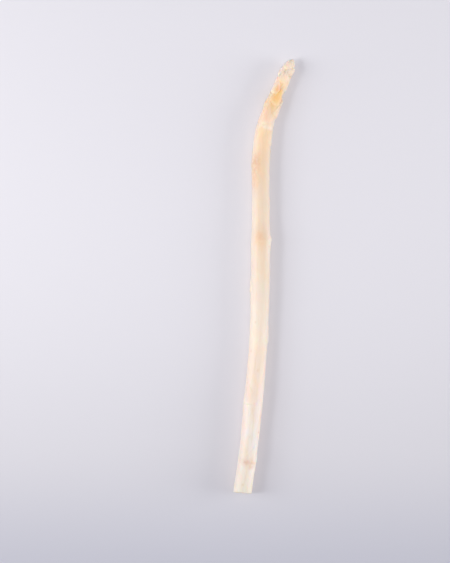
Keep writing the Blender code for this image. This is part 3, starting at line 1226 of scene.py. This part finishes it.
@dataclass
class Spear:
    """The whole spear, made as one closed piece.

    Its cut leans back and slants to one side, is dished, and reaches a little past the shoot's start.
    Its left side may stand out past the node's box by spare_left.
    """

    shoot: Shoot
    sides: int = 88
    face_rings: int = 14
    rim_length: float = 0.80 * MM
    rim_cuts: int = 5
    shaft_cuts: tuple[int, int] = (4, 82)
    head_cuts: int = 88
    crown_length: float = 0.25 * MM
    crown_rings: int = 3
    cut_lean: float = math.radians(6.0)
    cut_slant: float = math.radians(-3.0)
    cut_reach: float = 1.4 * MM
    lean_length: float = 6.0 * MM
    cut_dish: float = 0.22 * MM
    dish_power: int = 4
    slack: float = 0.01 * MM
    spare_left: float = 0.49 * MM
    leaf_columns: int = 24
    leaf_rows: int = 30
    edge_cuts: int = 1
    sharp_angle: float = math.radians(38.0)
    blemishes: tuple[SkinPatch, ...] = (
        SkinPatch(StainAndHighlight.BROWN, 144.8, -5.0, 5.0, 2.9, 0.20),
        SkinPatch(StainAndHighlight.ORANGE, 144.4, -8.0, 5.4, 3.2, 0.20),
        # Painted highlight: a pale patch on the lit side of the knob beside it.
        SkinPatch(StainAndHighlight.PALE, 142.0, 54.0, 6.0, 1.6, 0.50),
        SkinPatch(StainAndHighlight.BROWN, 187.3, -45.0, 4.8, 3.2, 0.42),
        SkinPatch(StainAndHighlight.BROWN, 178.0, -50.0, 8.5, 3.6, 0.36),
        SkinPatch(StainAndHighlight.BROWN, 17.0, -6.0, 1.8, 2.8, 0.45),
        SkinPatch(StainAndHighlight.BROWN, 14.2, 30.0, 1.2, 2.0, 0.40),
        SkinPatch(StainAndHighlight.PALE, 25.2, 33.0, 4.5, 1.8, 0.80),
        SkinPatch(StainAndHighlight.PALE, 12.0, 40.0, 3.0, 2.0, 0.60),
        SkinPatch(StainAndHighlight.ORANGE, 231.0, -2.0, 2.4, 2.0, 0.72),
        SkinPatch(StainAndHighlight.ORANGE, 219.5, -62.0, 3.5, 2.5, 0.25),
        SkinPatch(StainAndHighlight.BROWN, 212.0, -66.0, 9.0, 3.0, 0.13),
        SkinPatch(StainAndHighlight.PALE, 207.6, 12.0, 1.0, 5.0, 0.50),
        SkinPatch(StainAndHighlight.ORANGE, 226.0, -6.0, 7.0, 2.4, 0.35),
        SkinPatch(StainAndHighlight.BROWN, 3.8, -8.0, 0.6, 0.6, 0.45),
        SkinPatch(StainAndHighlight.BROWN, 96.6, -26.0, 0.6, 0.5, 0.45),
        SkinPatch(StainAndHighlight.BROWN, 80.0, -48.0, 0.9, 0.5, 0.45),
        SkinPatch(StainAndHighlight.BROWN, 69.2, 8.0, 0.8, 0.6, 0.35),
        SkinPatch(StainAndHighlight.BROWN, 34.2, 62.0, 0.6, 0.5, 0.50),
    )
    materials: list[bpy.types.Material] = field(default_factory=list)

    @property
    def butt_radius(self) -> float:
        """The bare radius at the butt."""
        return self.shoot.radius_mm[0][1] * MM

    def mix_materials(self) -> None:
        """Makes the finishes, in the order of the kinds of surface."""
        flesh = Flesh(self.shoot.length)
        finishes = {
            Part.SKIN: IvorySkin(flesh, "ivory_skin", flesh.glow_depth),
            Part.LEAF: ScaleLeafSkin(flesh),
            Part.CUT: CutFlesh(flesh, self.butt_radius),
            Part.BUD: IvorySkin(flesh, "bud_skin", flesh.thin_glow_depth),
        }
        self.materials = [finishes[part].material() for part in Part]

    def dress(self, piece: Piece, part: Part) -> None:
        """Gives a piece the spear's materials.

        Args:
            piece: The piece.
            part: The kind of surface that all its faces are.
        """
        for material in self.materials:
            piece.data.materials.append(material)
        piece.data.polygons.foreach_set("material_index", [part.value] * len(piece.data.polygons))

    def straight_shaft(self) -> Piece:
        """The bare shoot, straight: a disc inset for its cut, and its rim extruded to the crown.

        Returns:
            The shoot.
        """
        radius = self.butt_radius
        head = self.shoot.head_start
        crown = self.shoot.length - self.crown_length
        Bench.clear()
        bpy.ops.mesh.primitive_circle_add(
            vertices=self.sides, radius=radius, fill_type="NGON", calc_uvs=False, rotation=(math.pi / 2, 0, 0)
        )
        shaft = bpy.context.object
        shaft.name = shaft.data.name = PIECE_NAME
        bpy.ops.object.transform_apply(location=True, rotation=True, scale=True)
        with Bench.editing(shaft):
            bpy.ops.mesh.select_all(action="SELECT")
            self.close_with_rings(self.face_rings)
            inner = radius - self.slack
            Bench.select(shaft, Select.EDGES, lambda ends: min(math.hypot(p.x, p.z) for p in ends) > inner)
            for start, end in ((0.0, self.rim_length), (self.rim_length, head), (head, crown)):
                bpy.ops.mesh.extrude_edges_move(TRANSFORM_OT_translate={"value": (0, end - start, 0)})
            bpy.ops.mesh.edge_face_add()
            self.close_with_rings(self.crown_rings)
            self.cut_rings_between(shaft, 0.0, self.rim_length, self.rim_cuts)
            for cuts in self.shaft_cuts:
                self.cut_rings_between(shaft, self.rim_length, head, cuts)
            self.cut_rings_between(shaft, head, crown, self.head_cuts)
            Bench.face_outwards()
        self.dress(shaft, Part.SKIN)
        for face in shaft.data.polygons:
            if face.center.y < self.slack:
                face.material_index = Part.CUT.value
            elif face.center.y > head:
                face.material_index = Part.BUD.value
        Bench.place(shaft, self.grown(Bench.points(shaft), crown))
        return shaft

    def close_with_rings(self, rings: int) -> None:
        """Insets the selected disc, and merges its middle to a point.

        Args:
            rings: How many times it is inset.
        """
        for _ in range(rings):
            bpy.ops.mesh.inset(thickness=self.butt_radius / (rings + 1))
        bpy.ops.mesh.merge(type="CENTER")

    def cut_rings_between(self, shaft: Piece, start: float, end: float, cuts: int) -> None:
        """Subdivides the lengthwise edges between two distances along the shaft.

        Args:
            shaft: The shaft, in edit mode.
            start: The nearer distance.
            end: The farther one.
            cuts: How many cuts each edge gets.
        """

        def lengthwise(ends: Sequence[Vector]) -> bool:
            """Whether an edge runs along the shaft, between the two distances."""
            first, second = sorted(point.y for point in ends)
            return first > start - self.slack and second < end + self.slack and second - first > self.slack

        Bench.select(shaft, Select.EDGES, lengthwise)
        bpy.ops.mesh.subdivide(number_cuts=cuts)

    def grown(self, points: np.ndarray, crown: float) -> np.ndarray:
        """Gives the plain tube the shoot's own thickness, the cut its lean and dish, and the tip its crown.

        Args:
            points: The places of the tube's points.
            crown: How far along the tube the crown starts.

        Returns:
            Their places on the straight shoot.
        """
        along, azimuth = points[:, 1], np.arctan2(points[:, 0], points[:, 2])
        share = np.minimum(np.hypot(points[:, 0], points[:, 2]) / self.butt_radius, 1.0)
        full = self.shoot.skin_radius(along, azimuth)
        rim = np.clip(1 - along / self.rim_length, 0.0, 1.0)
        full = full - self.rim_length * (1 - np.sqrt(1 - rim * rim))
        reach = share * full
        lean = np.cos(azimuth) * math.tan(self.cut_lean) - np.sin(azimuth) * math.tan(self.cut_slant)
        lean = (reach * lean - self.cut_reach) * (1 - smooth_step(along / self.lean_length))
        dish = np.where(along < self.rim_length / 2, self.cut_dish * (1 - share**self.dish_power), 0.0)
        dome = self.crown_length * np.sqrt(1 - share**2) * (along > crown - self.slack)
        return round_axis(reach, along + lean + dish + dome, azimuth)

    def straight_leaf(self, leaf: Leaf) -> Piece:
        """A scale leaf on the straight shoot: a grid extruded to a closed blade.

        Until it is placed, the grid's x is v, its y runs up the leaf, and the extrusion runs outwards.

        Args:
            leaf: Its place, size and hue.

        Returns:
            The blade.
        """
        Bench.clear()
        bpy.ops.mesh.primitive_grid_add(
            x_subdivisions=self.leaf_columns, y_subdivisions=self.leaf_rows, size=2.0, calc_uvs=False
        )
        blade = bpy.context.object
        with Bench.editing(blade):
            bpy.ops.mesh.select_all(action="SELECT")
            bpy.ops.mesh.extrude_region_move(TRANSFORM_OT_translate={"value": (0, 0, 1)})
            Bench.select(blade, Select.EDGES, lambda ends: abs(ends[0].z - ends[1].z) > self.slack)
            bpy.ops.mesh.subdivide(number_cuts=self.edge_cuts)
            Bench.face_outwards()
        self.dress(blade, Part.LEAF)
        points = Bench.points(blade)
        v, u, depth = points[:, 0], (points[:, 1] + 1) / 2, 1 - points[:, 2]
        along, azimuth = leaf.spot(u, v)
        Bench.place(blade, round_axis(self.shoot.leaf_radius(leaf, u, v, depth), along, azimuth))
        Bench.mark_corners(blade, Mark.LEAF_PLACE, np.stack([u, v, np.full_like(u, leaf.fullness)], axis=-1))
        Bench.mark_corners(blade, Mark.LEAF_HUES, np.tile(leaf.hue.value, (len(u), 1)))
        return blade

    def join_leaves(self, shaft: Piece) -> None:
        """Fuses every scale leaf to the shoot in one union, and drops what the union seals inside.

        Args:
            shaft: The shoot.
        """
        blades = bpy.data.collections.new("blades")
        bpy.context.scene.collection.children.link(blades)
        for leaf in self.shoot.leaves:
            blade = self.straight_leaf(leaf)
            for home in list(blade.users_collection):
                home.objects.unlink(blade)
            blades.objects.link(blade)
        operand = {"operand_type": "COLLECTION", "collection": blades}
        Bench.finish_with(shaft, "BOOLEAN", operation="UNION", solver="MANIFOLD", **operand)
        for blade in list(blades.objects):
            bpy.data.objects.remove(blade)
        bpy.data.collections.remove(blades)
        with Bench.editing(shaft):
            Bench.select(
                shaft, Select.POINTS, lambda spot: abs(spot[0].x) < self.slack and spot[0].y < self.rim_length
            )
            bpy.ops.mesh.select_linked()
            bpy.ops.mesh.select_all(action="INVERT")
            bpy.ops.mesh.delete(type="VERT")

    def lay_down(self, spear: Piece) -> None:
        """Bends the straight spear along its middle line and sets it where the frame's node lies.

        Args:
            spear: The spear.
        """
        straight = Bench.points(spear)
        Bench.mark_points(spear, Mark.STRAIGHT, straight)
        shares = np.zeros((len(straight), len(StainAndHighlight)))
        for skin_patch in self.blemishes:
            shares[:, skin_patch.patch_kind.value] += skin_patch.share(straight)
        Bench.mark_points(spear, Mark.BLEMISHES, np.clip(shares, 0.0, 1.0))
        points = self.shoot.bent(straight)
        low, high = (np.array(corner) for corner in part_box(NODE))
        left = low[0] - self.spare_left - points[:, 0].min()
        ahead = high[1] - points[:, 1].max()
        Bench.place(spear, points + (left, ahead, low[2]))

    def flatten_underside(self, spear: Piece) -> None:
        """Cuts off what would lie below the surface that the spear rests on.

        Args:
            spear: The spear.
        """
        size = 2 * self.shoot.length
        Bench.clear()
        bpy.ops.mesh.primitive_cube_add(size=size, location=(0, 0, -size / 2))
        below = bpy.context.object
        bpy.ops.object.transform_apply(location=True, rotation=True, scale=True)
        Bench.finish_with(spear, "BOOLEAN", operation="DIFFERENCE", solver="MANIFOLD", object=below)
        bpy.data.objects.remove(below)

    def build(self) -> Piece:
        """Models, joins, lays down and dresses the spear.

        Returns:
            The finished piece, with its place in its mesh.
        """
        self.mix_materials()
        spear = self.straight_shaft()
        log.info("shaft: %d faces", len(spear.data.polygons))
        self.join_leaves(spear)
        log.info("with %d scale leaves: %d faces", len(self.shoot.leaves), len(spear.data.polygons))
        self.lay_down(spear)
        self.flatten_underside(spear)
        Bench.take(spear)
        bpy.ops.object.shade_smooth_by_angle(angle=self.sharp_angle)
        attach(spear, BODY)
        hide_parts(NODE)
        return spear


class LampKind(Enum):
    """The kinds of lamp, by Blender's names."""

    SOFTBOX = "AREA"
    BEAM = "SPOT"


@dataclass(frozen=True)
class Lamp:
    """A soft lamp, hung round the spear: a square softbox, or a beam that fades out at its rim.

    Its azimuth is counted on the floor from +X towards +Y, and its elevation from the floor up.
    """

    name: str
    kind: LampKind
    azimuth_deg: float
    elevation_deg: float
    size: float
    power: float
    aim: tuple[float, float, float] = (0.0, 0.0, 0.0)
    reach: float = 1.0
    beam_deg: float = 78.0
    beam_fade: float = 0.45

    def hang(self) -> None:
        """Hangs the lamp at its reach from the origin, and aims it."""
        turn, lift = math.radians(self.azimuth_deg), math.radians(self.elevation_deg)
        place = Vector((math.cos(turn) * math.cos(lift), math.sin(turn) * math.cos(lift), math.sin(lift)))
        place *= self.reach
        Bench.clear()
        bpy.ops.object.light_add(type=self.kind.value, location=place)
        lamp = bpy.context.object
        lamp.name = self.name
        lamp.data.energy = self.power
        if self.kind is LampKind.SOFTBOX:
            lamp.data.shape = "SQUARE"
            lamp.data.size = self.size
        else:
            lamp.data.shadow_soft_size = self.size / 2
            lamp.data.spot_size = math.radians(self.beam_deg)
            lamp.data.spot_blend = self.beam_fade
        lamp.rotation_euler = (Vector(self.aim) - place).to_track_quat("-Z", "Y").to_euler()


@dataclass(frozen=True)
class Studio:
    """The plain pale surface, the soft light and the camera straight above.

    The surface is painted a little darker towards the foot of the picture, up to where the fade ends: painted
    shade, where the light falls off.
    """

    floor_size: float = 6.0
    floor_drop: float = 0.02 * MM
    floor_tone: Colour = (229, 227, 231)
    painted_foot_shade_tone: Colour = (215, 215, 224)
    painted_foot_shade_fade: Fade = Fade(-180.0 * MM, -95.0 * MM, 1.0, 0.0)
    floor_roughness: float = 0.55
    floor_specular: float = 0.10
    tooth: Texture = Texture(900.0, 3.0)
    tooth_height: float = 0.02 * MM
    world_tone: Colour = (244, 244, 255)
    world_strength: float = 0.40
    picture_height_px: int = 563
    pixel: float = 0.57 * MM
    camera_offset: tuple[float, float] = (-22.23 * MM, -3.36 * MM)
    camera_reach: float = 0.900
    silhouette_height: float = 5.0 * MM
    sensor: float = 36.0
    lamps: tuple[Lamp, ...] = (
        Lamp("top_beam", LampKind.BEAM, 0.0, 90.0, size=0.3, power=9.5, aim=(0.0, 0.5, 0.0)),
        Lamp("left_beam", LampKind.BEAM, 190.0, 45.0, size=0.3, power=7.6, aim=(0.0, 0.5, 0.0)),
        Lamp("left_softbox", LampKind.SOFTBOX, 180.0, 35.0, size=0.5, power=1.8),
        Lamp("low_left_softbox", LampKind.SOFTBOX, 180.0, 20.0, size=0.5, power=2.35),
        Lamp("low_right_softbox", LampKind.SOFTBOX, 0.0, 15.0, size=0.5, power=4.65),
        Lamp(
            "foot_beam",
            LampKind.BEAM,
            azimuth_deg=-20.0,
            elevation_deg=10.0,
            size=0.2,
            power=1.9,
            aim=(0.0, -0.16, 0.0),
            reach=0.6,
            beam_deg=30.0,
            beam_fade=1.0,
        ),
    )

    def lay_floor(self) -> None:
        """Lays the surface that the spear rests on."""
        Bench.clear()
        bpy.ops.mesh.primitive_plane_add(size=self.floor_size, location=(0, 0, -self.floor_drop))
        floor = bpy.context.object
        floor.name = "floor"
        recipe = Recipe("pale_paper")
        place = recipe.add("ShaderNodeTexCoord", {}).outputs["Object"]
        # Painted shade: the floor's colour darkens towards the foot of the picture.
        foot = recipe.ranged(recipe.split(place)[1], self.painted_foot_shade_fade)
        recipe.set(
            recipe.shader,
            {
                "Base Color": recipe.mixed(foot, self.floor_tone, self.painted_foot_shade_tone),
                "Roughness": self.floor_roughness,
                "Specular IOR Level": self.floor_specular,
                "Normal": recipe.bump(recipe.noise(place, self.tooth), self.tooth_height),
            },
        )
        floor.data.materials.append(recipe.material)

    def light(self) -> None:
        """Lights the spear from a pale room and soft lamps."""
        world = bpy.data.worlds.new("pale_room")
        world.use_nodes = True
        background = world.node_tree.nodes["Background"]
        background.inputs["Color"].default_value = linear(*self.world_tone)
        background.inputs["Strength"].default_value = self.world_strength
        bpy.context.scene.world = world
        for lamp in self.lamps:
            lamp.hang()

    def set_camera(self) -> None:
        """Sets the camera straight above, with +Y up in its picture."""
        Bench.clear()
        x, y = self.camera_offset
        height = self.camera_reach + self.silhouette_height
        bpy.ops.object.camera_add(location=(x, y, height), rotation=(0, 0, 0))
        camera = bpy.context.object
        camera.data.sensor_width = self.sensor
        camera.data.lens = self.sensor * self.camera_reach / (self.picture_height_px * self.pixel)
        camera.data.dof.use_dof = False
        bpy.context.scene.camera = camera

    def set_up(self) -> None:
        """Puts the studio together and has it show true colours."""
        self.lay_floor()
        self.light()
        self.set_camera()
        bpy.context.scene.view_settings.view_transform = "Standard"


def main() -> None:
    """Builds the studio and the spear, and reports each piece."""
    Studio().set_up()
    log.info("studio: floor, lamps and camera")
    spear = Spear(Shoot()).build()
    log.info("%s: %d faces", spear.name, len(spear.data.polygons))


if __name__ == "__main__":
    main()
